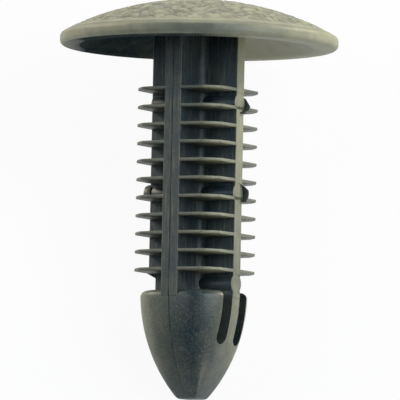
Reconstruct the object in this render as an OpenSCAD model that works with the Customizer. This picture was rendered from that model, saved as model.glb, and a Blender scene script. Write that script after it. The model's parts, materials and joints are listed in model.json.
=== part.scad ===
// Push-in fir-tree clip with a grained mushroom head, moulded in one piece.
// The head seats on a panel, the fins grip the hole and the slotted nose leads the way in.
// It is drawn lying at rest: the rim of the head and the side of the nose touch Z = 0, the head
// points to +Y and the nose to -Y. The origin lies on the floor, below the middle of the clip.

/* [Head] */
// Diameter of the head
head_d = 19.9; // [19.8:0.1:26]
// Height of the smooth band round the rim of the head
rim_h = 0.95; // [0.8:0.05:1.6]
// Diameter of the grained dome on top, inside the rim band
dome_d = 19.4; // [15:0.1:19.4]
// Rise of the dome above the rim band
dome_rise = 2.42; // [1.5:0.02:4]
// Radius of the rounded edges of the rim
rim_round = 0.35; // [0.1:0.05:0.4]
// Width of the flat lip that seats on the panel
lip_w = 1.2; // [1:0.1:2.4]
// Thickness of the head between its top and its hollow underside
head_wall = 1.3; // [0.9:0.05:2]

/* [Shank] */
// Width of the shank across two opposite ribs, and of each fin across its flats
shank_w = 7.05; // [6.4:0.05:7.3]
// Thickness of the two ribs that lie on the mould's parting plane
seam_rib_t = 1.33; // [0.9:0.05:1.8]
// Thickness of the two ribs that face the way the mould opens
open_rib_t = 1; // [0.9:0.05:1.4]
// Radius of the hollow corners where two ribs meet
corner_round = 0.57; // [0.2:0.05:0.8]

/* [Fins] */
// Number of fins
fin_count = 11; // [3:1:11]
// Distance from one fin to the next
fin_pitch = 1.29; // [1.1:0.01:1.4]
// Distance from the seat of the head to the middle of the first fin
first_fin = 3.13; // [2.6:0.05:3.5]
// Diameter of each fin across its rounded corners
fin_d = 8.6; // [8:0.1:9.4]
// Thickness of a fin at its corners
fin_edge_t = 0.2; // [0.16:0.02:0.4]
// Thickness of a fin at the middle of the shank
fin_root_t = 0.46; // [0.42:0.02:0.6]

/* [Nose] */
// Distance from the seat of the head to the tip of the nose
stem_l = 25.15; // [23:0.05:29]
// Distance from the seat of the head to the shoulder of the nose
shoulder_at = 17.5; // [17.3:0.05:18.2]
// Largest diameter of the nose
nose_d = 7.7; // [7.5:0.05:8]
// Diameter of the flat face at the tip
tip_d = 1.85; // [1:0.05:2.5]
// Radius of the rounded shoulder
shoulder_round = 0.45; // [0.3:0.05:0.6]
// Radius of the rounding round that face
tip_round = 0.45; // [0.3:0.05:0.6]
// Width of each slot beside a rib in the nose
slot_w = 1.12; // [0.8:0.05:1.4]
// Depth of the slots below the shoulder
slot_l = 3.8; // [2.5:0.1:4.5]

/* [Ejector marks] */
// Diameter of the round pads that the ejector pins leave
pin_d = 1.45; // [1.2:0.05:1.7]
// Distance from the seat of the head to the middle of the first pad
first_pin = 4.05; // [3.4:0.05:4.2]
// Number of fins from one pad to the next
fins_per_pin = 5; // [5:1:5]
// Number of pads on the right rib: the left one has one fewer
pin_count = 3; // [1:1:3]
// Depth of the pads below the end face of their rib
pin_sink = 0.04; // [0.02:0.01:0.2]
// Height of the thin moulding flash on the edge of a pad, beyond the end face of the rib
flash_h = 0.4; // [0.2:0.05:0.6]
// Thickness of that flash
flash_t = 0.12; // [0.08:0.01:0.2]
// Slope at which that flash rises from the pad
flash_rise = 38; // [20:1:50]
// Depth of the notch in the left rib, between the last fin and the nose
notch_t = 0.6; // [0.2:0.05:0.8]
// How far the burr at the top of that notch stands out from the rib
burr_out = 0.35; // [0.1:0.05:0.5]
// Height of that burr
burr_h = 0.5; // [0.3:0.05:0.8]

/* [Rest] */
// Turn of the ribs about the shank, away from straight up, as the clip lies
rest_turn = 30.8; // [27:0.1:63]

/* [Hidden] */
$fn = 96;
eps = 0.01;

head_r = head_d / 2;
nose_r = nose_d / 2;
tip_r = tip_d / 2;
half_w = shank_w / 2;
last_fin = first_fin + (fin_count - 1) * fin_pitch;
head_h = rim_h + dome_rise;
dome_r = (pow(dome_d / 2, 2) + pow(dome_rise, 2)) / (2 * dome_rise);
dome_z = head_h - dome_r;
// The hollow underside is a shallow dish that keeps the wall thickness below the dome.
hollow_h = head_h - head_wall;
hollow_edge_r = head_r - rim_round - lip_w;
hollow_r = (pow(hollow_edge_r, 2) + pow(hollow_h, 2)) / (2 * hollow_h);
hollow_z = hollow_h - hollow_r;
// The shank runs up through the hollow and stops inside the wall of the head.
shank_top = hollow_h + head_wall / 2;

// The side of the nose is one arc. Its roundings at the shoulder and the tip touch it from inside.
tip_centre = [tip_r, tip_round - stem_l];
tip_drop = stem_l - tip_round - shoulder_at;
nose_curve_r = (pow(nose_r - tip_r, 2) + pow(tip_drop, 2) - pow(tip_round, 2))
    / (2 * (nose_r - tip_r - tip_round));
side_centre = [nose_r - nose_curve_r, -shoulder_at];
shoulder_z = -shoulder_at - shoulder_round;
shoulder_centre = [side_centre[0] + leg(nose_curve_r - shoulder_round, shoulder_round), shoulder_z];

// At rest one straight line touches the lower edge of the rim and the side of the nose.
rim_centre = [head_r - rim_round, rim_round];
lean = rim_centre - side_centre;
rest_tilt = acos((nose_curve_r - rim_round) / norm(lean)) - atan2(lean[1], lean[0]);
axis_height = rim_centre[0] * cos(rest_tilt) - rim_centre[1] * sin(rest_tilt) + rim_round;
head_reach = dome_z * cos(rest_tilt) + dome_r;
nose_reach = tip_centre[0] * sin(rest_tilt) - tip_centre[1] * cos(rest_tilt) + tip_round;
axis_shift = (nose_reach - head_reach) / 2;

// Third side of a right triangle
function leg(long, short) = sqrt(pow(long, 2) - pow(short, 2));

// Point on the line from one point through another, at a distance from the first
function along(from, to, d) = from + (to - from) * d / norm(to - from);

// Domed head with a smooth rim band and a hollow underside
module head() {
    difference() {
        rotate_extrude() head_section();
        translate([0, 0, hollow_z]) sphere(r = hollow_r);
    }
}

// Half section of the head before it is hollowed
module head_section() {
    square([rim_centre[0], rim_h]);
    translate([0, rim_round]) square([head_r, rim_h - 2 * rim_round]);
    for (z = [rim_round, rim_h - rim_round])
        translate([rim_centre[0], z]) circle(r = rim_round);
    intersection() {
        translate([0, dome_z]) circle(r = dome_r);
        translate([0, rim_h / 2]) square([dome_d / 2, head_h]);
    }
}

// Four ribs in a cross, with hollow corners where they meet
module shank() {
    difference() {
        translate([0, 0, -shoulder_at - shoulder_round])
            linear_extrude(height = shank_top + shoulder_at + shoulder_round) rib_cross();
        left_foot(open_rib_t + eps)
            translate([half_w - notch_t, -shoulder_at]) square([nose_r, shoulder_at - last_fin]);
    }
    left_foot(open_rib_t) polygon([
        [half_w - notch_t - eps, -last_fin],
        [half_w + burr_out, -last_fin],
        [half_w - notch_t - eps, -last_fin - burr_h]]);
}

// Makes a flat piece in the plane of the left rib, from an outline of distance and height
module left_foot(thickness) {
    rotate([90, 0, 180]) linear_extrude(height = thickness, center = true) children();
}

module rib_cross() {
    square([seam_rib_t, shank_w], center = true);
    square([shank_w, open_rib_t], center = true);
    for (i = [0, 1], j = [0, 1]) mirror([i, 0]) mirror([0, j])
        translate([seam_rib_t / 2, open_rib_t / 2]) hollow_corner();
}

// Concave corner between two ribs
module hollow_corner() {
    difference() {
        translate([-eps, -eps]) square(corner_round + eps);
        translate([corner_round, corner_round]) circle(r = corner_round);
    }
}

// Thin fins, each a disc that thins outwards and is cut flush with the four ribs
module fins() {
    intersection() {
        for (i = [0:fin_count - 1])
            translate([0, 0, -first_fin - i * fin_pitch]) fin_disc();
        translate([0, 0, -shoulder_at]) linear_extrude(height = shoulder_at) square(shank_w, center = true);
    }
}

module fin_disc() {
    rotate_extrude()
        polygon([[0, -fin_root_t / 2], [fin_d / 2, -fin_edge_t / 2], [fin_d / 2, fin_edge_t / 2], [0, fin_root_t / 2]]);
}

// Bullet nose with four curved flats that carry the faces of the ribs down to the tip
module nose() {
    difference() {
        intersection() {
            rotate_extrude() nose_section();
            rib_side();
            rotate([0, 0, 90]) rib_side();
        }
        for (side = [0, 180], hand = [-1, 1])
            rotate([0, 0, side]) slot(hand);
    }
}

// The nose's outline drawn in to the width of the shank, as a bar along Y
module rib_side() {
    rotate([90, 0, 0]) linear_extrude(height = 2 * nose_d, center = true)
        for (side = [0, 1]) mirror([side, 0])
            intersection() {
                translate([half_w - nose_r, 0]) nose_section();
                translate([-eps, -stem_l]) square([nose_r, stem_l]);
            }
}

// Half section of the nose
module nose_section() {
    intersection() {
        translate(side_centre) circle(r = nose_curve_r);
        polygon([
            [0, -shoulder_at],
            [shoulder_centre[0], -shoulder_at],
            shoulder_centre,
            along(side_centre, shoulder_centre, 2 * nose_curve_r),
            along(side_centre, tip_centre, 2 * nose_curve_r),
            tip_centre,
            [tip_centre[0], -stem_l],
            [0, -stem_l]]);
    }
    intersection() {
        union() {
            translate(shoulder_centre) circle(r = shoulder_round);
            translate(tip_centre) circle(r = tip_round);
        }
        translate([0, -stem_l]) square([nose_d, stem_l]);
    }
}

// Round-ended slot beside a rib, open at the shoulder
module slot(hand) {
    middle = hand * (open_rib_t + slot_w) / 2;
    straight = slot_l - slot_w / 2;
    translate([seam_rib_t / 2, middle, -shoulder_at]) {
        translate([0, -slot_w / 2, -straight]) cube([nose_r, slot_w, straight + eps]);
        translate([0, 0, -straight]) rotate([0, 90, 0]) cylinder(d = slot_w, h = nose_r);
    }
}

// Round pads under the ejector pins, a little wider than the rib
module pin_pads() {
    at_pins(0, 0) cylinder(d = pin_d, h = half_w - pin_sink);
}

// Shallow bores that the pins leave in the ribs and in the fins beside them
module pin_bores() {
    at_pins(0, 0) translate([0, 0, half_w - pin_sink]) cylinder(d = pin_d, h = fin_d);
}

// Thin flash on the edges of three pads
module pin_flash() {
    at_pins(1, 1) translate([0, 0, half_w - pin_sink]) flash();
}

// Places its child at the pins, pointing outwards: it leaves out the last ones on the right rib and
// the first ones on the left rib
module at_pins(skip_last, skip_first) {
    for (side = [0, 1], i = [side * skip_first:pin_count - 1 - max(side, skip_last)])
        rotate([0, 0, 180 * side]) translate([0, 0, -first_pin - i * fins_per_pin * fin_pitch])
            rotate([0, 90, 0]) rotate([0, 0, 60 + 37 * i + 33 * side]) children();
}

// Piece of a thin ring on the edge of a pad, rising from nothing at one end
module flash() {
    intersection() {
        translate([0, 0, -flash_t]) linear_extrude(height = flash_t + pin_sink + flash_h)
            difference() {
                circle(d = pin_d + flash_t);
                circle(d = pin_d - flash_t);
                translate([pin_d / 4 - 2 * pin_d, -pin_d]) square(2 * pin_d);
            }
        translate([0, pin_d / 2, 0]) rotate([-flash_rise, 0, 0])
            translate([0, -2 * pin_d, -pin_d]) cube([pin_d, 3 * pin_d, pin_d]);
    }
}

// The whole clip, upright on its own axis with the seat of the head at Z = 0
module upright_clip() {
    difference() {
        union() {
            head();
            shank();
            fins();
            nose();
            pin_pads();
        }
        pin_bores();
    }
    pin_flash();
}

module fir_tree_clip() {
    color([0.13, 0.14, 0.13])
        translate([0, axis_shift, axis_height])
            rotate([rest_tilt - 90, 0, 0])
                rotate([0, 0, -rest_turn])
                    upright_clip();
}

fir_tree_clip();
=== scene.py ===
"""Looks of a push-in fir-tree clip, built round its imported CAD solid.

Every piece is shaped in millimetres on the clip's own upright axis, with the seat of the head at
Z = 0 and the ribs on X and Y, and is then laid down to where the CAD solid rests.
"""

import json
import math
from types import SimpleNamespace

import bmesh
import bpy
from mathutils import Matrix, Vector, noise


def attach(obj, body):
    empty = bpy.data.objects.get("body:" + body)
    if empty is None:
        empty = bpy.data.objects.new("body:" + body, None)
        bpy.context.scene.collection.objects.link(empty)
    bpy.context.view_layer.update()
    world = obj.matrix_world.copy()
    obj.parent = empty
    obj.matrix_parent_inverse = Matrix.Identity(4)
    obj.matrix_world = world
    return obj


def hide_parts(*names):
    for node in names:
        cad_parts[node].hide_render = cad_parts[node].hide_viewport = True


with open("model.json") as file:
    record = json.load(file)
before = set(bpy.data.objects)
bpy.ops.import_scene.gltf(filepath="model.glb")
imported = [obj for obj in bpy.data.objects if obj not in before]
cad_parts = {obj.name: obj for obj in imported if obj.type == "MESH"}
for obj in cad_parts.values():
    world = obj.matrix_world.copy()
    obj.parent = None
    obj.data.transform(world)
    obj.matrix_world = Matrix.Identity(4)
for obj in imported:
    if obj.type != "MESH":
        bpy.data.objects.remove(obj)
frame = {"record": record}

bl_info = {
    "name": "Fir-tree clip",
    "version": (1, 0, 0),
    "blender": (4, 5, 0),
    "location": "View3D > Sidebar > Clip",
    "description": "Builds a moulded push-in fir-tree clip with a grained head",
    "category": "Object",
}

NODE = "fir_tree_clip"
SHANK_MOUNT = next(m for m in frame["record"]["mounts"] if m["name"] == "finned_shank")
MM = 0.001

# Distances below which two places count as one, and a place lies on a plane, in millimetres
SAME = 1e-4
ON_PLANE = 1e-5

# Steps round a full turn
HEAD_STEPS = 480
NOSE_STEPS = 320
FIN_STEPS = 128
PIN_STEPS = 48
SLOT_STEPS = 40

# Vertex attribute that holds how much painted light lies on a spot, from 0 to 1: a pale colour
# that stands in for the light and sheen falling there
PAINTED_LIGHT = "painted_light"

# Specular level of plain nylon
SHINE = 0.5

# Fineness of the noise patterns, for each metre, and how far scuffs are drawn out lengthwise
PATCH_SCALE = 900.0
SPECK_SCALE = 7000.0
SCUFF_SQUEEZE = 0.06

# How white the floor is to the eye and in gloss, where 1 would keep no shadow
WHITE_TO_EYE = 0.93
WHITE_IN_GLOSS = 0.5


# Sizes and finishes


def length(name, description, millimetres):
    """A property for a length, with its default in millimetres."""
    return bpy.props.FloatProperty(
        name=name,
        description=description,
        default=millimetres * MM,
        min=0.0,
        precision=5,
        subtype="DISTANCE",
        unit="LENGTH",
    )


class ClipSizes(bpy.types.PropertyGroup):
    """Sizes of the moulding"""

    head_d: length("Head diameter", "Across the rim of the head", 19.9)
    rim_h: length("Rim height", "Smooth band round the rim", 0.95)
    rim_round: length("Rim rounding", "Radius of the rim's edges", 0.35)
    dome_d: length("Dome diameter", "Across the grained dome", 19.4)
    dome_rise: length("Dome rise", "Height of the dome above the rim band", 2.42)
    lip_w: length("Lip width", "Flat lip that seats on the panel", 1.2)
    head_wall: length("Head wall", "Thickness between dome and hollow", 1.3)
    shank_w: length("Shank width", "Across two opposite ribs", 7.05)
    seam_rib_t: length("Seam rib", "Thickness of the ribs on the parting plane", 1.33)
    open_rib_t: length("Opening rib", "Thickness of the other two ribs", 1.0)
    corner_round: length("Rib corner", "Hollow corner between two ribs", 0.57)
    fin_d: length("Fin diameter", "Across the corners of a fin", 8.6)
    fin_pitch: length("Fin pitch", "From one fin to the next", 1.29)
    first_fin: length("First fin", "From the seat to the first fin", 3.13)
    fin_edge_t: length("Fin edge", "Thickness at the corners of a fin", 0.2)
    fin_root_t: length("Fin root", "Thickness at the middle of a fin", 0.46)
    stem_l: length("Stem length", "From the seat to the tip of the nose", 25.15)
    shoulder_at: length("Shoulder", "From the seat to the nose's shoulder", 17.5)
    shoulder_round: length("Shoulder rounding", "Radius of the shoulder", 0.45)
    nose_d: length("Nose diameter", "Largest diameter of the nose", 7.7)
    tip_d: length("Tip", "Flat face at the tip of the nose", 1.85)
    tip_round: length("Tip rounding", "Radius at the blunt tip", 0.45)
    slot_w: length("Slot width", "Width of a slot in the nose", 1.12)
    slot_l: length("Slot depth", "Depth of the slots below the shoulder", 3.8)
    pin_d: length("Pin pad", "Diameter of the ejector pads", 1.45)
    first_pin: length("First pad", "From the seat to the first pad", 4.05)
    pin_sink: length("Pad depth", "Depth of a pad below the end of its rib", 0.04)
    flash_h: length("Flash height", "Height of the flash beyond the end of its rib", 0.4)
    flash_t: length("Flash thickness", "Thickness of that flash", 0.12)
    pin_gap: length("Pin gap", "Gap between a pad and the fin it cuts", 0.1)
    notch_t: length("Notch depth", "Depth of the notch in the foot of the left rib", 0.6)
    burr_out: length("Burr", "How far the burr over the notch stands out", 0.35)
    burr_h: length("Burr height", "Height of that burr", 0.5)
    seam_w: length("Seam width", "Width of the parting line", 0.14)
    seam_depth: length("Seam depth", "Depth of the parting line", 0.045)
    edge_round: length("Edge rounding", "Softened edges of the moulding", 0.06)
    grain_size: length("Grain size", "Width of one pebble of the grain", 0.85)
    grain_depth: length("Grain depth", "Depth of the creases between the pebbles", 0.1)
    grain_fade: length("Grain fade", "Smooth border between the grain and the rim", 0.9)
    grain_seed: bpy.props.IntProperty(
        name="Grain seed", description="Which of many like grains is pressed", default=1, min=1
    )
    fin_count: bpy.props.IntProperty(
        name="Fins", description="Number of fins", default=11, min=1
    )
    fins_per_pin: bpy.props.IntProperty(
        name="Fins per pad", description="Fins from one pad to the next", default=5, min=1
    )
    pin_count: bpy.props.IntProperty(
        name="Pads", description="Number of pads on a rib", default=3, min=1
    )
    flash_rise: bpy.props.FloatProperty(
        name="Flash slope",
        description="Slope at which the flash rises from its pad",
        default=math.radians(38),
        subtype="ANGLE",
        unit="ROTATION",
    )
    rest_turn: bpy.props.FloatProperty(
        name="Turn",
        description="Turn of the ribs from straight up, as the clip lies",
        default=math.radians(30.8),
        subtype="ANGLE",
        unit="ROTATION",
    )


class ClipFinish(bpy.types.PropertyGroup):
    """Colours and light"""

    nylon: bpy.props.FloatVectorProperty(
        name="Nylon",
        description="Colour of the moulding",
        default=(0.012, 0.027, 0.039),
        size=3,
        min=0.0,
        max=1.0,
        subtype="COLOR",
    )
    bloom: bpy.props.FloatVectorProperty(
        name="Bloom",
        description="Paler tone where the surface has dulled in patches",
        default=(0.04, 0.049, 0.05),
        size=3,
        min=0.0,
        max=1.0,
        subtype="COLOR",
    )
    # Painted light: the pale colour laid on lit sides, edges and highlights, standing in for light
    # and sheen
    painted_light: bpy.props.FloatVectorProperty(
        name="Painted_light",
        description="Pale film on the surfaces that hands and panels rub",
        default=(0.27, 0.268, 0.185),
        size=3,
        min=0.0,
        max=1.0,
        subtype="COLOR",
    )
    paper: bpy.props.FloatVectorProperty(
        name="Paper",
        description="Colour of the floor",
        default=(0.9, 0.9, 0.9),
        size=3,
        min=0.0,
        max=1.0,
        subtype="COLOR",
    )
    gloss: bpy.props.FloatProperty(
        name="Roughness",
        description="Mean roughness of the nylon",
        default=0.4,
        min=0.0,
        max=1.0,
        subtype="FACTOR",
    )


def plain_sizes():
    """The sizes as plain numbers, with every length in millimetres."""
    group = bpy.context.scene.clip_sizes
    plain = SimpleNamespace()
    for prop in group.bl_rna.properties:
        if prop.identifier in {"rna_type", "name"}:
            continue
        value = getattr(group, prop.identifier)
        scale = 1 / MM if getattr(prop, "unit", "") == "LENGTH" else 1
        setattr(plain, prop.identifier, value * scale)
    plain.half_w = plain.shank_w / 2
    plain.head_r = plain.head_d / 2
    plain.last_fin = plain.first_fin + (plain.fin_count - 1) * plain.fin_pitch
    return plain


# Shaping tools


def swing(bm, vert, centre, degrees, steps):
    """Draws an arc from a vertex, turning from +Z towards +X about a centre."""
    made = bmesh.ops.spin(
        bm,
        geom=[vert],
        cent=centre,
        axis=(0, 1, 0),
        angle=math.radians(degrees),
        steps=steps,
    )
    return next(g for g in made["geom_last"] if isinstance(g, bmesh.types.BMVert))


def line_to(bm, vert, x, z):
    """Draws a straight edge from a vertex."""
    end = bmesh.ops.extrude_vert_indiv(bm, verts=[vert])["verts"][0]
    end.co = (x, 0, z)
    return end


def lathe(bm, steps):
    """Turns a half outline about Z into a closed skin."""
    bmesh.ops.spin(
        bm,
        geom=bm.verts[:] + bm.edges[:],
        cent=(0, 0, 0),
        axis=(0, 0, 1),
        angle=math.tau,
        steps=steps,
        use_merge=True,
    )
    close(bm)


def close(bm):
    """Joins the seams and turns the faces outwards."""
    bmesh.ops.remove_doubles(bm, verts=bm.verts, dist=SAME)
    bmesh.ops.recalc_face_normals(bm, faces=bm.faces)


def block(size, centre):
    """A plain block."""
    bm = bmesh.new()
    bmesh.ops.create_cube(bm, size=1)
    bmesh.ops.scale(bm, vec=size, verts=bm.verts)
    bmesh.ops.translate(bm, vec=centre, verts=bm.verts)
    return bm


def rod(radius, start, end, z, steps=PIN_STEPS):
    """A round rod along X."""
    bm = bmesh.new()
    middle = Matrix.Translation(((start + end) / 2, 0, z))
    bmesh.ops.create_cone(
        bm,
        cap_ends=True,
        segments=steps,
        radius1=radius,
        radius2=radius,
        depth=end - start,
        matrix=middle @ Matrix.Rotation(math.pi / 2, 4, "Y"),
    )
    return bm


def add(bm, other, matrix=Matrix.Identity(4)):
    """Puts a moved copy of another bmesh into this one."""
    mesh = bpy.data.meshes.new("part")
    other.to_mesh(mesh)
    mesh.transform(matrix)
    bm.from_mesh(mesh)
    bpy.data.meshes.remove(mesh)


def as_object(bm):
    """A passing object for a modifier to work on."""
    mesh = bpy.data.meshes.new("work")
    bm.to_mesh(mesh)
    work = bpy.data.objects.new("work", mesh)
    bpy.context.scene.collection.objects.link(work)
    return work


def combine(bm, other, operation):
    """Cuts, trims or joins a closed bmesh with another one."""
    base, tool = as_object(bm), as_object(other)
    modifier = base.modifiers.new("combine", "BOOLEAN")
    modifier.object = tool
    modifier.operation = operation
    modifier.solver = "EXACT"
    bpy.context.view_layer.update()
    done = base.evaluated_get(bpy.context.evaluated_depsgraph_get()).to_mesh()
    bm.clear()
    bm.from_mesh(done)
    for work in (base, tool):
        mesh = work.data
        bpy.data.objects.remove(work)
        bpy.data.meshes.remove(mesh)
    bmesh.ops.dissolve_degenerate(bm, edges=bm.edges, dist=SAME)


def soften(bm, width, least, segments=2, wanted=lambda edge: True):
    """Rounds the edges sharper than an angle in degrees."""
    sharp = [
        e
        for e in bm.edges
        if len(e.link_faces) == 2 and e.calc_face_angle(0) > math.radians(least) and wanted(e)
    ]
    bmesh.ops.bevel(
        bm,
        geom=sharp,
        offset=width,
        affect="EDGES",
        segments=segments,
        profile=0.5,
        material=-1,
        clamp_overlap=True,
    )


def score_seam(bm, s, inner):
    """Presses the parting line into what lies further than inner from the axis, on both sides."""
    for x in (-s.seam_w / 2, 0, s.seam_w / 2):
        bmesh.ops.bisect_plane(
            bm,
            geom=bm.verts[:] + bm.edges[:] + bm.faces[:],
            dist=ON_PLANE,
            plane_co=(x, 0, 0),
            plane_no=(1, 0, 0),
        )
    for vert in bm.verts:
        if abs(vert.co.x) < SAME and abs(vert.co.y) > inner:
            vert.co.y -= math.copysign(s.seam_depth, vert.co.y)


def draw_out(bm, corners, by):
    """A prism: a flat face through its corners, drawn out by a vector."""
    face = bm.faces.new([bm.verts.new(corner) for corner in corners])
    made = bmesh.ops.extrude_face_region(bm, geom=[face])
    moved = [g for g in made["geom"] if isinstance(g, bmesh.types.BMVert)]
    bmesh.ops.translate(bm, vec=by, verts=moved)
    close(bm)


def ease(value):
    """Goes softly from 0 to 1."""
    value = min(1, max(0, value))
    return value * (value * (3 - 2 * value))


def laid_down(s):
    """Takes millimetres on the clip's upright axis to metres where the clip lies."""
    up = -Vector(SHANK_MOUNT["axis"]).normalized()
    across = Vector((1, 0, 0))
    rows = Matrix((across, up.cross(across), up)).transposed().to_4x4()
    turn = Matrix.Rotation(-s.rest_turn, 4, "Z")
    return Matrix.Translation(SHANK_MOUNT["pos_m"]) @ rows @ turn @ Matrix.Scale(MM, 4)


def rightward(s, spot):
    """How far a spot lies to the right once the clip is laid down."""
    return (Matrix.Rotation(-s.rest_turn, 3, "Z") @ spot).x


def finish_piece(bm, name, material, s, painted_light):
    """Lays a shaped piece down and makes it part of the clip, with the painted light its spots
    carry.
    """
    close(bm)
    bm.normal_update()
    layer = bm.verts.layers.float.new(PAINTED_LIGHT)
    for vert in bm.verts:
        vert[layer] = painted_light(vert)
    bmesh.ops.transform(bm, matrix=laid_down(s), verts=bm.verts)
    mesh = bpy.data.meshes.new(name)
    bm.to_mesh(mesh)
    bm.free()
    mesh.shade_smooth()
    mesh.materials.append(material)
    piece = bpy.data.objects.new(name, mesh)
    bpy.context.scene.collection.objects.link(piece)
    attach(piece, "root")
    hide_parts(NODE)
    return piece


def keep_flats_flat(piece, degrees):
    """Shades large faces flat and keeps edges above an angle crisp."""
    piece.data.set_sharp_from_angle(angle=math.radians(degrees))
    normals = piece.modifiers.new("flats", "WEIGHTED_NORMAL")
    normals.mode = "FACE_AREA"
    normals.keep_sharp = True


# Finishes


def feed(tree, socket, value):
    """Links an output to a socket, or sets the socket to a plain value."""
    if isinstance(value, bpy.types.NodeSocket):
        tree.links.new(value, socket)
    else:
        socket.default_value = value


def shader_node(tree, kind, **inputs):
    """A shader node with some inputs set or linked, where an underscore stands for a space."""
    node = tree.nodes.new(kind)
    for name, value in inputs.items():
        feed(tree, node.inputs[name.replace("_", " ")], value)
    return node


def reckon(tree, operation, *values):
    """A sum or product of plain values and outputs."""
    node = tree.nodes.new("ShaderNodeMath")
    node.operation = operation
    for socket, value in zip(node.inputs, values):
        feed(tree, socket, value)
    return node.outputs["Value"]


def tone_map(tree, factor, low, high, to_low, to_high):
    """Takes the range from low to high to another one."""
    return shader_node(
        tree,
        "ShaderNodeMapRange",
        Value=factor,
        From_Min=low,
        From_Max=high,
        To_Min=to_low,
        To_Max=to_high,
    ).outputs["Result"]


def blend(tree, factor, low, high):
    """A colour between two others."""
    mix = tree.nodes.new("ShaderNodeMix")
    mix.data_type = "RGBA"
    for name, value in (("Factor", factor), ("A", low), ("B", high)):
        feed(tree, next(i for i in mix.inputs if i.name == name and i.enabled), value)
    return next(o for o in mix.outputs if o.enabled)


def noise_spots(tree, place, scale, detail, roughness):
    """A noise pattern from 0 to 1."""
    return shader_node(
        tree,
        "ShaderNodeTexNoise",
        Vector=place,
        Scale=scale,
        Detail=detail,
        Roughness=roughness,
    ).outputs["Fac"]


def along_the_clip(tree, place, squeeze):
    """Coordinates drawn out along the clip's axis, for marks that run lengthwise."""
    _, along, rise = SHANK_MOUNT["axis"]
    level = (-math.atan2(-rise, -along), 0, 0)
    turned = shader_node(tree, "ShaderNodeMapping", Vector=place, Rotation=level)
    drawn = shader_node(
        tree, "ShaderNodeMapping", Vector=turned.outputs["Vector"], Scale=(1, squeeze, 1)
    )
    return drawn.outputs["Vector"]


def new_material(name):
    """An empty material and its node tree."""
    material = bpy.data.materials.new(name)
    material.use_nodes = True
    material.node_tree.nodes.clear()
    return material, material.node_tree


def moulded_nylon(name, gloss_shift=0.0, bare_shine=SHINE, dust=0.16, scuffs=0.0):
    """Black nylon from the mould, dulled in patches, with a pale colour painted where light and
    sheen fall.

    The gloss shift is added to the roughness. The bare shine is the specular level where no light
    is painted. Dust and scuffs say how much pale colour lies in specks and in lengthwise marks.
    """
    finish = bpy.context.scene.clip_finish
    material, tree = new_material(name)
    place = tree.nodes.new("ShaderNodeTexCoord").outputs["Object"]
    lengthwise = along_the_clip(tree, place, SCUFF_SQUEEZE)
    patches = noise_spots(tree, place, PATCH_SCALE, 4.0, 0.6)
    specks = noise_spots(tree, place, SPECK_SCALE, 3.0, 0.65)
    scratches = noise_spots(tree, lengthwise, SPECK_SCALE, 4.0, 0.5)

    attribute = tree.nodes.new("ShaderNodeAttribute")
    attribute.attribute_name = PAINTED_LIGHT
    painted_light = attribute.outputs["Fac"]
    # Painted light, varied in patches, with pale dust specks and lengthwise scuffs added to it
    painted_light_and_marks = reckon(tree, "MULTIPLY", painted_light, tone_map(tree, patches, 0.3, 0.7, 0.8, 1.15))
    for marks, amount in ((specks, dust), (scratches, scuffs)):
        painted_light_and_marks = reckon(tree, "ADD", painted_light_and_marks, tone_map(tree, marks, 0.5, 0.72, 0.0, amount))
    dulled = tone_map(tree, patches, 0.4, 0.7, 0.0, 1.0)
    plain = blend(tree, dulled, (*finish.nylon, 1), (*finish.bloom, 1))
    colour = blend(tree, painted_light_and_marks, plain, (*finish.painted_light, 1))

    gloss = finish.gloss + gloss_shift
    shine = SHINE
    if bare_shine != SHINE:
        shine = tone_map(tree, painted_light, 0.1, 0.5, bare_shine, SHINE)
    bump = shader_node(tree, "ShaderNodeBump", Strength=0.6, Distance=0.02 * MM, Height=specks)
    surface = shader_node(
        tree,
        "ShaderNodeBsdfPrincipled",
        Base_Color=colour,
        Roughness=tone_map(tree, specks, 0.3, 0.7, gloss - 0.07, gloss + 0.1),
        Specular_IOR_Level=shine,
        Normal=bump.outputs["Normal"],
    )
    shader_node(tree, "ShaderNodeOutputMaterial", Surface=surface.outputs["BSDF"])
    return material


def paper_floor():
    """Pale paper that stays white for the eye and for gloss, and keeps a soft shadow."""
    material, tree = new_material("paper")
    paper = (*bpy.context.scene.clip_finish.paper, 1)
    matte = shader_node(tree, "ShaderNodeBsdfDiffuse", Color=paper).outputs["BSDF"]
    glow = shader_node(tree, "ShaderNodeEmission", Color=(1, 1, 1, 1), Strength=1.0)
    rays = tree.nodes.new("ShaderNodeLightPath").outputs
    mirrored = reckon(tree, "ADD", rays["Is Glossy Ray"], rays["Is Transmission Ray"])
    in_gloss = reckon(tree, "MULTIPLY", mirrored, WHITE_IN_GLOSS)
    share = reckon(tree, "MULTIPLY_ADD", rays["Is Camera Ray"], WHITE_TO_EYE, in_gloss)
    both = tree.nodes.new("ShaderNodeMixShader")
    for socket, output in zip(both.inputs, (share, matte, glow.outputs["Emission"])):
        tree.links.new(output, socket)
    shader_node(tree, "ShaderNodeOutputMaterial", Surface=both.outputs["Shader"])
    return material


# Pieces


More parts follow.
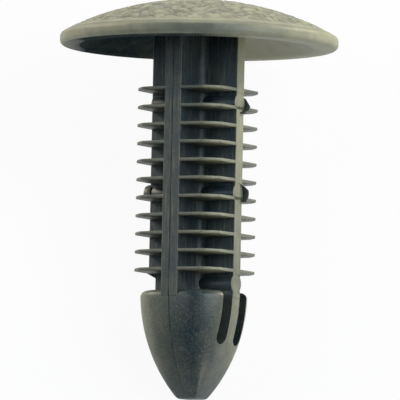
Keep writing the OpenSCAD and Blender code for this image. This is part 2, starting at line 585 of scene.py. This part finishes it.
class CLIP_OT_head(bpy.types.Operator):
    """Turns the mushroom head with its rim band and hollow, and presses the grain into its dome"""

    bl_idname = "clip.head"
    bl_label = "Head"

    def execute(self, context):
        s = plain_sizes()
        head_h = s.rim_h + s.dome_rise
        dome_r = ((s.dome_d / 2) ** 2 + s.dome_rise**2) / (2 * s.dome_rise)
        dome_half = math.degrees(math.asin(s.dome_d / 2 / dome_r))
        hollow_h = head_h - s.head_wall
        hollow_edge = s.head_r - s.rim_round - s.lip_w
        hollow_r = (hollow_edge**2 + hollow_h**2) / (2 * hollow_h)
        hollow_half = math.degrees(math.asin(hollow_edge / hollow_r))
        rim_x = s.head_r - s.rim_round

        bm = bmesh.new()
        v = bm.verts.new((0, 0, head_h))
        v = swing(bm, v, (0, 0, head_h - dome_r), dome_half, 96)
        lead = s.dome_d / 2 - rim_x
        rim_z = s.rim_h - s.rim_round
        v = line_to(bm, v, rim_x + lead, rim_z + math.sqrt(s.rim_round**2 - lead**2))
        v = swing(bm, v, (rim_x, 0, rim_z), 90 - math.degrees(math.asin(lead / s.rim_round)), 6)
        v = line_to(bm, v, s.head_r, s.rim_round)
        v = swing(bm, v, (rim_x, 0, s.rim_round), 90, 6)
        v = line_to(bm, v, hollow_edge, 0)
        swing(bm, v, (0, 0, hollow_h - hollow_r), -hollow_half, 24)
        lathe(bm, HEAD_STEPS)
        creases = self.press_grain(bm, s)

        def painted_light(vert):
            """Painted light: most on the dome, with painted shade in its creases, and more towards
            the lit right elsewhere.
            """
            dome, rim, hollow = 0.86, 0.47, 0.06
            at_edge, shade_in_crease, gained_on_right = 0.7, 0.62, 0.09
            reach = math.hypot(vert.co.x, vert.co.y)
            side = rightward(s, vert.co) / s.head_r
            right = max(0, side)
            if vert.normal.z > 0 and vert.co.z > s.rim_h - 0.05:
                is_edge = reach > s.dome_d / 2 - 0.12
                # Painted shade in the creases of the grain, and less painted light at the dome's
                # edge
                share = at_edge if is_edge else 1 - shade_in_crease * vert[creases]
                return (dome + gained_on_right * right) * share
            # The rim band gets painted light towards both lit ends
            if vert.co.z > 0.02 and reach > rim_x - 0.01:
                return rim + (1 - rim) * abs(side)
            # In the hollow, painted light on the right and at the far left end; the rest of the
            # left keeps little, as painted shadow of the shank
            left_end = -3 * (side + 0.85)
            return min(1, hollow + max(3 * right, left_end))

        material = moulded_nylon("nylon_head", gloss_shift=0.08, bare_shine=0.0, dust=0.1)
        finish_piece(bm, "head", material, s, painted_light)
        return {"FINISHED"}

    def press_grain(self, bm, s):
        """Sinks a leather grain into the dome and keeps how deep in a crease every spot lies."""
        warp, crease_w, level = 0.6, 0.32, 0.75
        noise.seed_set(s.grain_seed)
        creases = bm.verts.layers.float.new("crease")
        bm.normal_update()
        for vert in bm.verts:
            if vert.co.z < s.rim_h or vert.normal.z < 0:
                continue
            border = s.dome_d / 2 - 0.1 - math.hypot(vert.co.x, vert.co.y)
            inside = ease(border / s.grain_fade)
            # Pebbles are the cells of a warped pattern, level on top and rounded to their borders.
            spot = vert.co / s.grain_size
            spot += noise.noise_vector(spot * 1.3) * warp
            nearest, second = noise.voronoi(spot)[0][:2]
            pebble = ease((second - nearest) / crease_w)
            # In places the creases run out, and every pebble is a little uneven.
            filled = min(0.8, max(0, 0.1 + 0.8 * noise.noise(spot * 0.9)))
            pebble += (1 - pebble) * filled
            pebble -= 0.12 * noise.noise(spot * 4)
            vert[creases] = inside * min(1, max(0, 1 - pebble))
            vert.co += vert.normal * s.grain_depth * inside * (pebble - level)
        return creases


class CLIP_OT_shank(bpy.types.Operator):
    """Draws the cross of four ribs with its hollow corners, ejector pads and parting line"""

    bl_idname = "clip.shank"
    bl_label = "Shank"

    def execute(self, context):
        s = plain_sizes()
        bottom = -s.shoulder_at - s.shoulder_round
        top = s.rim_h + s.dome_rise - s.head_wall / 2
        bm = bmesh.new()
        x, y, w = s.seam_rib_t / 2, s.open_rib_t / 2, s.half_w
        outline = [
            (x, -w), (x, -y), (w, -y), (w, y), (x, y), (x, w),
            (-x, w), (-x, y), (-w, y), (-w, -y), (-x, -y), (-x, -w),
        ]
        draw_out(bm, [(*corner, bottom) for corner in outline], (0, 0, top - bottom))
        hollow = [e for e in bm.edges if is_upright(e) and not e.is_convex]
        bmesh.ops.bevel(
            bm,
            geom=hollow,
            offset=s.corner_round,
            affect="EDGES",
            segments=8,
            profile=0.5,
            material=-1,
        )
        soften(bm, s.edge_round, 60, 3, lambda edge: edge.is_convex and is_upright(edge))
        for bore in pin_bores(s, 0):
            combine(bm, bore, "DIFFERENCE")
        combine(bm, self.notch(s), "DIFFERENCE")
        add(bm, self.burr(s))
        score_seam(bm, s, s.half_w - 0.01)
        material = moulded_nylon("nylon_shank", gloss_shift=0.12, scuffs=0.3)
        piece = finish_piece(bm, "shank", material, s, ends_painted_light(s))
        keep_flats_flat(piece, 35)
        return {"FINISHED"}

    def notch(self, s):
        """What the notch takes off the foot of the left rib, from the last fin to the nose."""
        start, end = s.half_w - s.notch_t, s.nose_d
        size = (end - start, s.open_rib_t + 0.2, s.shoulder_at - s.last_fin)
        return block(size, (-(start + end) / 2, 0, -(s.shoulder_at + s.last_fin) / 2))

    def burr(self, s):
        """The thin lip that stands out over the notch of the left rib."""
        bm = bmesh.new()
        root, end, top = s.half_w - s.notch_t - 0.05, s.half_w + s.burr_out, -s.last_fin
        half = s.open_rib_t / 2 - 0.01
        corners = [(-root, -half, top), (-end, -half, top), (-root, -half, top - s.burr_h)]
        draw_out(bm, corners, (0, 2 * half, 0))
        soften(bm, 0.03, 60)
        return bm


def is_upright(edge):
    """Whether an edge runs along the shank, and not across it."""
    return abs(edge.verts[0].co.z - edge.verts[1].co.z) > 1


def ends_painted_light(s):
    """Painted light on the rib ends: most on the open ribs near the head, a painted highlight
    along the seam ribs' edges, and little on the flash, as painted shade.
    """
    at_head, gained_upwards, at_foot = 1.05, 0.044, 0.42
    seam_end, seam_edge_highlight, flash = 0.08, 0.35, 0.1

    def painted_light(vert):
        x, y = abs(vert.co.x), abs(vert.co.y)
        # The flash keeps little painted light, as painted shade
        if x > s.half_w + 0.03:
            return flash
        if x > s.half_w - 0.05:
            return max(at_foot, at_head + gained_upwards * vert.co.z)
        # Painted highlight along the edges of the seam ribs' ends
        if y > s.half_w - 0.045:
            return seam_edge_highlight if x > s.seam_rib_t / 2 - 0.045 else seam_end
        return 0.0

    return painted_light


def pin_places(s):
    """Side, height and turn of every ejector pad, and whether flash stands on it."""
    for i in range(s.pin_count):
        z = -s.first_pin - i * s.fins_per_pin * s.fin_pitch
        yield 1, z, 60 + 37 * i, i < s.pin_count - 1
        if i < s.pin_count - 1:
            yield -1, z, 93 + 37 * i, i > 0


def pin_bores(s, gap):
    """What the ejector pins leave clear of plastic beyond the pads."""
    bores = []
    for side, z, _, _ in pin_places(s):
        ends = sorted((side * (s.half_w - s.pin_sink), side * s.fin_d))
        bores.append(rod(s.pin_d / 2 + gap, *ends, z))
    return bores


class CLIP_OT_pads(bpy.types.Operator):
    """Sets the round ejector pads into the ribs, with the flash that stands on their edges"""

    bl_idname = "clip.pads"
    bl_label = "Ejector pads"

    def execute(self, context):
        s = plain_sizes()
        face_at = s.half_w - s.pin_sink - 0.01
        bm = bmesh.new()
        for side, z, around, has_flash in pin_places(s):
            turn = Matrix.Rotation(0 if side > 0 else math.pi, 4, "Z")
            place = turn @ Matrix.Translation((0, 0, z))
            pad = rod(s.pin_d / 2 - 0.01, 0, face_at, 0)
            soften(pad, 0.04, 60)
            add(bm, pad, place)
            if has_flash:
                add(bm, self.flash(s, face_at, math.radians(around)), place)
        finish_piece(bm, "ejector_pads", moulded_nylon("nylon_pads"), s, ends_painted_light(s))
        return {"FINISHED"}

    def flash(self, s, face_at, around):
        """A thin curved wall on a pad's edge that rises from nothing at its upper end."""
        bm = bmesh.new()
        start, end = face_at - s.flash_t, s.half_w + s.flash_h
        inner, outer = s.pin_d / 2 - s.flash_t / 2, s.pin_d / 2 + s.flash_t / 2
        corners = [(start, -inner), (end, -inner), (end, -outer), (start, -outer)]
        face = bm.faces.new([bm.verts.new((x, 0, z)) for x, z in corners])
        half = math.radians(60)
        back, on = Matrix.Rotation(-half, 3, "X"), Matrix.Rotation(around, 3, "X")
        bmesh.ops.rotate(bm, cent=(0, 0, 0), matrix=back, verts=bm.verts)
        bmesh.ops.spin(
            bm,
            geom=[face, *face.edges, *face.verts],
            cent=(0, 0, 0),
            axis=(1, 0, 0),
            angle=2 * half,
            steps=28,
        )
        for vert in bm.verts:
            climb = (s.pin_d / 2 - vert.co.y) * math.tan(s.flash_rise)
            if vert.co.x > face_at:
                vert.co.x = min(vert.co.x, face_at + max(0.0, climb))
        bmesh.ops.rotate(bm, cent=(0, 0, 0), matrix=on, verts=bm.verts)
        close(bm)
        soften(bm, 0.03, 60)
        return bm


class CLIP_OT_fins(bpy.types.Operator):
    """Stacks the thin fins, each cut flush with the ribs and thinner towards its corners"""

    bl_idname = "clip.fins"
    bl_label = "Fins"

    def execute(self, context):
        s = plain_sizes()
        fin = bmesh.new()
        v = fin.verts.new((0, 0, s.fin_root_t / 2))
        v = line_to(fin, v, s.fin_d / 2, s.fin_edge_t / 2)
        v = line_to(fin, v, s.fin_d / 2, -s.fin_edge_t / 2)
        line_to(fin, v, 0, -s.fin_root_t / 2)
        lathe(fin, FIN_STEPS)
        flat = s.shank_w - 0.02
        combine(fin, block((flat, flat, 2), (0, 0, 0)), "INTERSECT")
        soften(fin, s.edge_round * 0.8, 25, 2)
        bm = bmesh.new()
        for i in range(s.fin_count):
            height = -s.first_fin - i * s.fin_pitch
            add(bm, fin, Matrix.Translation((0, 0, height)))
        for bore in pin_bores(s, s.pin_gap):
            combine(bm, bore, "DIFFERENCE")
        score_seam(bm, s, s.half_w - 0.1)

        def painted_light(vert):
            """Painted light: most on the edge, and a painted highlight above all at the corner
            between the front and right ribs.
            """
            face, edge, highlight_at_corner = 0.08, 0.36, 0.55
            corner_at, corner_w = 1.3, 1.6
            if math.hypot(vert.co.x, vert.co.y) < s.half_w - 0.1:
                return face
            away = abs(rightward(s, vert.co) - corner_at) / corner_w
            return edge + highlight_at_corner * max(0, 1 - away)

        piece = finish_piece(bm, "fins", moulded_nylon("nylon_fins"), s, painted_light)
        keep_flats_flat(piece, 35)
        return {"FINISHED"}


class CLIP_OT_nose(bpy.types.Operator):
    """Turns the bullet nose, cuts its four flats and the slots beside two of the ribs"""

    bl_idname = "clip.nose"
    bl_label = "Nose"

    def execute(self, context):
        s = plain_sizes()
        tip_in = (s.nose_d - s.tip_d) / 2
        tip_down = s.stem_l - s.tip_round - s.shoulder_at
        curve_r = (tip_in**2 + tip_down**2 - s.tip_round**2) / (2 * (tip_in - s.tip_round))
        side_x = s.nose_d / 2 - curve_r
        shoulder_z = -s.shoulder_at - s.shoulder_round
        tip_z = -s.stem_l + s.tip_round
        shoulder_reach = curve_r - s.shoulder_round
        tip_reach = curve_r - s.tip_round
        shoulder_drop = math.degrees(math.asin(s.shoulder_round / shoulder_reach))
        tip_drop = math.degrees(math.asin((-s.shoulder_at - tip_z) / tip_reach))
        shoulder_x = side_x + shoulder_reach * math.cos(math.radians(shoulder_drop))
        tip_x = side_x + tip_reach * math.cos(math.radians(tip_drop))

        bm = bmesh.new()
        v = bm.verts.new((0, 0, -s.shoulder_at))
        v = line_to(bm, v, shoulder_x, -s.shoulder_at)
        v = swing(bm, v, (shoulder_x, 0, shoulder_z), 90 + shoulder_drop, 8)
        v = swing(bm, v, (side_x, 0, -s.shoulder_at), tip_drop - shoulder_drop, 44)
        v = swing(bm, v, (tip_x, 0, tip_z), 90 - tip_drop, 8)
        line_to(bm, v, 0, -s.stem_l)
        lathe(bm, NOSE_STEPS)
        self.press_flats(bm, s.nose_d / 2 - s.half_w)
        for side in (0, math.pi):
            for hand in (-1, 1):
                combine(bm, self.slot(s, hand, side), "DIFFERENCE")
        soften(bm, s.edge_round, 40, 2)
        score_seam(bm, s, 0.8)

        def painted_light(vert):
            """Painted light: more towards both lit sides, and hardly any inside the slots."""
            middle, gained_at_side = 0.03, 0.68
            side = rightward(s, vert.co) * 2 / s.nose_d
            outward = vert.normal.dot(Vector((vert.co.x, vert.co.y, 0)).normalized())
            faces_out = min(1, max(0, 1.5 * outward))
            return middle + gained_at_side * side**2 * faces_out

        piece = finish_piece(bm, "nose", moulded_nylon("nylon_nose", dust=0.3), s, painted_light)
        keep_flats_flat(piece, 18)
        return {"FINISHED"}

    def press_flats(self, bm, depth):
        """Draws four sides in by a depth, with a soft turn from each flat to the round."""
        octant, softness = math.pi / 4, 0.22
        for vert in bm.verts:
            reach = math.hypot(vert.co.x, vert.co.y)
            if reach < depth + 0.1:
                continue
            flat = reach - depth
            angle = math.atan2(vert.co.y, vert.co.x)
            nearest = round(angle / (2 * octant)) * 2 * octant
            off = abs(angle - nearest)
            edge = min(math.acos(flat / reach), octant * 0.98)
            if off < octant / 2:
                off *= edge * 2 / octant
            else:
                off = edge + (off - octant / 2) * (octant - edge) * 2 / octant
            level = flat / math.cos(off)
            reach = (level + reach - math.hypot(level - reach, softness)) / 2
            turned = nearest + math.copysign(off, angle - nearest)
            vert.co.x, vert.co.y = reach * math.cos(turned), reach * math.sin(turned)

    def slot(self, s, hand, side):
        """A cutter for one slot: a rod at its round end, drawn up past the shoulder."""
        low = -s.shoulder_at - (s.slot_l - s.slot_w / 2)
        middle = hand * (s.open_rib_t + s.slot_w) / 2
        bm = rod(s.slot_w / 2, s.seam_rib_t / 2, s.nose_d, low, SLOT_STEPS)
        bmesh.ops.translate(bm, vec=(0, middle, 0), verts=bm.verts)
        for vert in bm.verts:
            if vert.co.z > low + SAME:
                vert.co.z = 1.0 - s.shoulder_at
        close(bm)
        turn = Matrix.Rotation(side, 3, "Z")
        bmesh.ops.rotate(bm, cent=(0, 0, 0), matrix=turn, verts=bm.verts)
        return bm


# Stage


def softbox(name, place, aim, width, height, power, tint):
    """A soft rectangular lamp that points at a place."""
    lamp = bpy.data.lights.new(name, "AREA")
    lamp.shape = "RECTANGLE"
    lamp.size = width
    lamp.size_y = height
    lamp.energy = power
    lamp.color = tint
    box = bpy.data.objects.new(name, lamp)
    box.location = place
    box.rotation_euler = (Vector(aim) - Vector(place)).to_track_quat("-Z", "Y").to_euler()
    box.visible_camera = False
    bpy.context.scene.collection.objects.link(box)


class CLIP_OT_stage(bpy.types.Operator):
    """Lays the paper floor, sets the soft lamps and aims the camera as in the photograph"""

    bl_idname = "clip.stage"
    bl_label = "Stage"

    def execute(self, context):
        bm = bmesh.new()
        bmesh.ops.create_grid(bm, x_segments=1, y_segments=1, size=2.0)
        mesh = bpy.data.meshes.new("floor")
        bm.to_mesh(mesh)
        bm.free()
        mesh.materials.append(paper_floor())
        floor = bpy.data.objects.new("floor", mesh)
        context.scene.collection.objects.link(floor)

        world = bpy.data.worlds.new("studio")
        world.use_nodes = True
        air = world.node_tree.nodes["Background"].inputs
        air["Color"].default_value = (0.6, 0.85, 1.0, 1)
        air["Strength"].default_value = 0.05
        context.scene.world = world

        middle = (0, 0, 0.008)
        warm, mild, cool = (1.0, 0.9, 0.73), (1.0, 0.96, 0.85), (0.86, 0.95, 1.0)
        for name, place, width, height, power, tint in (
            ("right_box", (0.38, 0.25, 0.03), 0.2, 0.1, 2.15, warm),
            ("left_box", (-0.38, 0.25, 0.05), 0.2, 0.1, 1.3, warm),
            ("head_box", (0.0, 0.45, 0.15), 0.2, 0.2, 0.9, mild),
            ("nose_box", (0.24, -0.4, 0.05), 0.2, 0.1, 0.5, warm),
            ("right_fill", (0.29, 0.0, 0.36), 0.3, 0.3, 1.6, cool),
            ("left_fill", (-0.35, 0.0, 0.3), 0.2, 0.2, 0.45, cool),
        ):
            softbox(name, place, middle, width, height, power, tint)
        self.camera(context, plain_sizes())
        context.scene.view_settings.view_transform = "Standard"
        return {"FINISHED"}

    def camera(self, context, s):
        """A long lens, looking a little from below the head's plane."""
        below_head, roll = math.radians(4.5), math.radians(1.2)
        distance, aim_down, aim_right = 0.499, 10.9 * MM, 0.29 * MM
        focal_length, sensor = 630.0, 36.0
        rest = laid_down(s)
        head_way = (rest.to_3x3() @ Vector((0, 0, 1))).normalized()
        across = Vector((1, 0, 0))
        up = across.cross(head_way)
        back = up * math.cos(below_head) - head_way * math.sin(below_head)
        aim = rest.translation - head_way * aim_down + across * aim_right
        image_up = back.cross(across)
        right = across * math.cos(roll) + image_up * math.sin(roll)
        turned = Matrix((right, back.cross(right), back)).transposed()
        lens = bpy.data.cameras.new("camera")
        lens.lens, lens.sensor_width = focal_length, sensor
        lens.clip_start, lens.clip_end = 0.01, 10.0
        camera = bpy.data.objects.new("camera", lens)
        camera.matrix_world = Matrix.Translation(aim + back * distance) @ turned.to_4x4()
        context.scene.collection.objects.link(camera)
        context.scene.camera = camera


class CLIP_PT_panel(bpy.types.Panel):
    """Sizes, finishes and pieces of the clip"""

    bl_idname = "CLIP_PT_panel"
    bl_label = "Fir-tree clip"
    bl_space_type = "VIEW_3D"
    bl_region_type = "UI"
    bl_category = "Clip"

    def draw(self, context):
        for step in STEPS:
            self.layout.operator(step.bl_idname)
        for group in (context.scene.clip_sizes, context.scene.clip_finish):
            box = self.layout.box()
            for prop in group.bl_rna.properties:
                if prop.identifier not in {"rna_type", "name"}:
                    box.prop(group, prop.identifier)


STEPS = (CLIP_OT_head, CLIP_OT_shank, CLIP_OT_pads, CLIP_OT_fins, CLIP_OT_nose, CLIP_OT_stage)
CLASSES = (ClipSizes, ClipFinish, *STEPS, CLIP_PT_panel)


def register():
    for cls in CLASSES:
        bpy.utils.register_class(cls)
    bpy.types.Scene.clip_sizes = bpy.props.PointerProperty(type=ClipSizes)
    bpy.types.Scene.clip_finish = bpy.props.PointerProperty(type=ClipFinish)


def unregister():
    del bpy.types.Scene.clip_finish
    del bpy.types.Scene.clip_sizes
    for cls in reversed(CLASSES):
        bpy.utils.unregister_class(cls)


def main():
    """Builds the pieces in order."""
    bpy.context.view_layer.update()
    register()
    bpy.ops.clip.head()
    bpy.ops.clip.shank()
    bpy.ops.clip.pads()
    bpy.ops.clip.fins()
    bpy.ops.clip.nose()
    bpy.ops.clip.stage()


if __name__ == "__main__":
    main()
